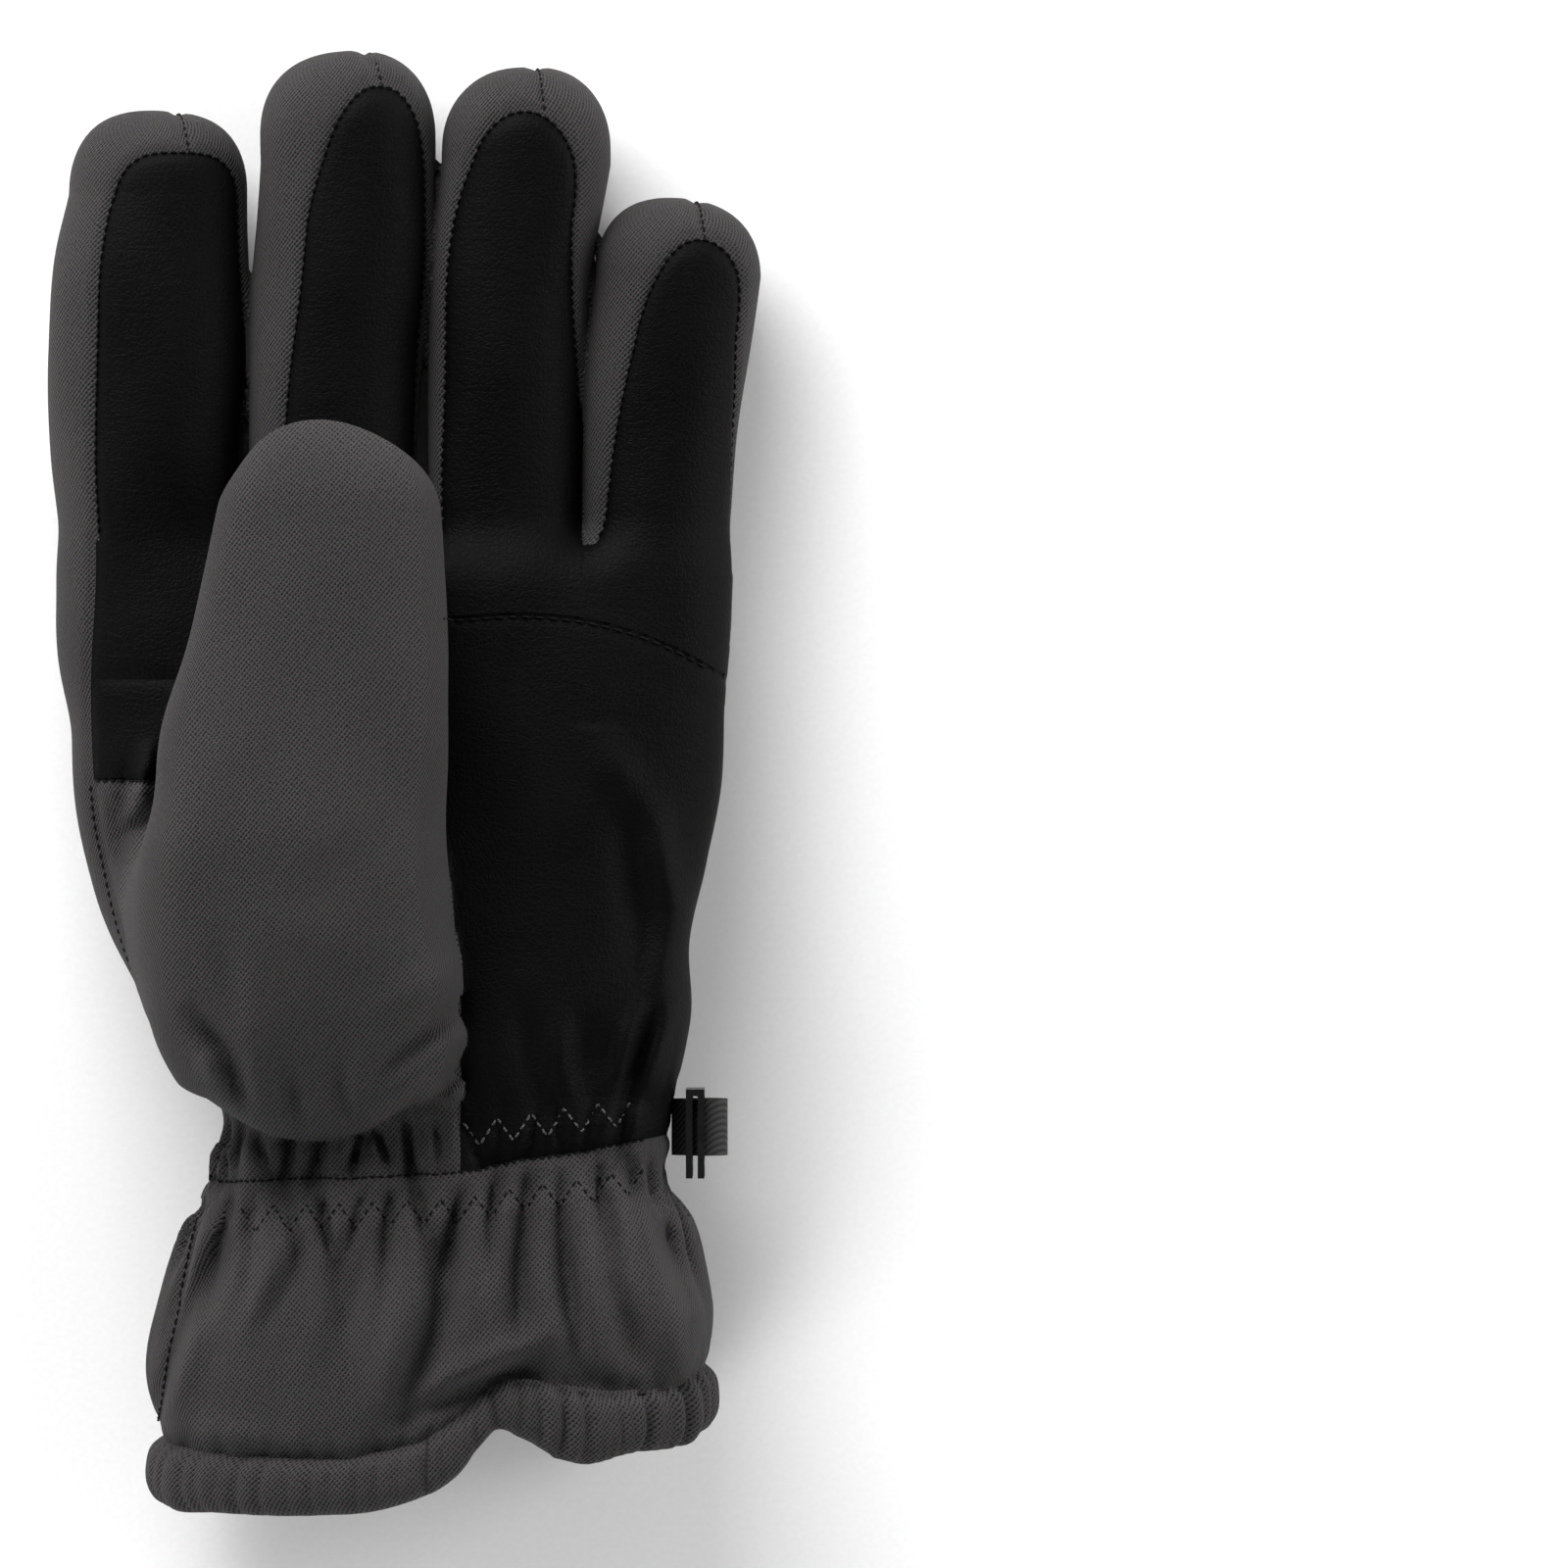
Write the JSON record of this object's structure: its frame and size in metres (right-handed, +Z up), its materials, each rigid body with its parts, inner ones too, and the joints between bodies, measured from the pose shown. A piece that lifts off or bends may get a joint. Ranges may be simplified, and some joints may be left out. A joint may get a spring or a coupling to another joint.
{
  "type": "ski glove",
  "caption": "Insulated left-hand five-finger ski glove lying palm up, with leather palm, elastic wrist, gathered gauntlet cuff and pairing clip on a webbing loop.",
  "frame": {"origin": "on the surface the glove lies on, under the middle of its box", "axes": "+X across the palm to the little finger, +Y along the fingers, +Z up out of the palm"},
  "size_m": [0.1399, 0.284, 0.0752],
  "materials": {
    "shell_fabric": "woven polyester shell, dark grey, fine diagonal rib, water repellent",
    "palm_leather": "black synthetic leather, fine grain, satin",
    "wadding": "white polyester wadding",
    "membrane_film": "thin polyurethane film",
    "fleece": "brushed tricot fleece, near black",
    "thread": "twisted polyester sewing thread",
    "elastic": "knitted elastic tape",
    "webbing": "black polyester webbing",
    "clip_plastic": "moulded black acetal"
  },
  "bodies": {
    "hand": {"hand_back_shell": "shell_fabric", "palm_leather": "palm_leather", "thumb_web": "shell_fabric", "palm_patch": "palm_leather", "palm_patch_stitch": "thread", "hand_insulation": "wadding", "hand_membrane": "membrane_film", "hand_lining": "fleece", "palm_zigzag_stitch": "thread"},
    "index": {"index_shell": "shell_fabric", "index_leather": "palm_leather", "index_insulation": "wadding", "index_membrane": "membrane_film", "index_lining": "fleece"},
    "middle": {"middle_shell": "shell_fabric", "middle_leather": "palm_leather", "middle_insulation": "wadding", "middle_membrane": "membrane_film", "middle_lining": "fleece"},
    "ring": {"ring_shell": "shell_fabric", "ring_leather": "palm_leather", "ring_insulation": "wadding", "ring_membrane": "membrane_film", "ring_lining": "fleece"},
    "little": {"little_shell": "shell_fabric", "little_leather": "palm_leather", "little_insulation": "wadding", "little_membrane": "membrane_film", "little_lining": "fleece"},
    "thumb": {"thumb_shell": "shell_fabric", "thumb_leather": "palm_leather", "thumb_insulation": "wadding", "thumb_membrane": "membrane_film", "thumb_lining": "fleece"},
    "cuff": {"cuff_shell": "shell_fabric", "cuff_insulation": "wadding", "cuff_lining": "fleece", "hem_casing": "shell_fabric", "hem_elastic": "elastic", "wrist_zigzag_stitch": "thread", "wrist_elastic": "elastic"},
    "loop": {"webbing_loop": "webbing"},
    "clip": {"pair_clip": "clip_plastic"}
  },
  "joints": [
    {"name": "index_curl", "type": "hinge", "parent": "hand", "child": "index", "pos_m": [-0.04925, 0.0799, 0.01974], "axis": [1, 0, 0], "range_deg": [0, 65]},
    {"name": "middle_curl", "type": "hinge", "parent": "hand", "child": "middle", "pos_m": [-0.0126, 0.0859, 0.01848], "axis": [1, 0, 0], "range_deg": [0, 65]},
    {"name": "ring_curl", "type": "hinge", "parent": "hand", "child": "ring", "pos_m": [0.02125, 0.0839, 0.01704], "axis": [1, 0, 0], "range_deg": [0, 65]},
    {"name": "little_curl", "type": "hinge", "parent": "hand", "child": "little", "pos_m": [0.0517, 0.0719, 0.01704], "axis": [1, 0, 0], "range_deg": [0, 65]},
    {"name": "thumb_lift", "type": "hinge", "parent": "hand", "child": "thumb", "pos_m": [-0.017, -0.0241, 0.06423], "axis": [1, 0, 0], "range_deg": [0, 40]},
    {"name": "wrist_bend", "type": "hinge", "parent": "hand", "child": "cuff", "pos_m": [0.0058, -0.0741, 0.022], "axis": [-1, 0, 0], "range_deg": [-20, 35]},
    {"name": "loop_swing", "type": "hinge", "parent": "hand", "child": "loop", "pos_m": [0.05322, -0.0681, 0.022], "axis": [0, 1, 0], "range_deg": [-25, 25]},
    {"name": "clip_tilt", "type": "hinge", "parent": "loop", "child": "clip", "pos_m": [0.05692, -0.0681, 0.022], "axis": [0, 0, 1], "range_deg": [-8, 8]}
  ]
}
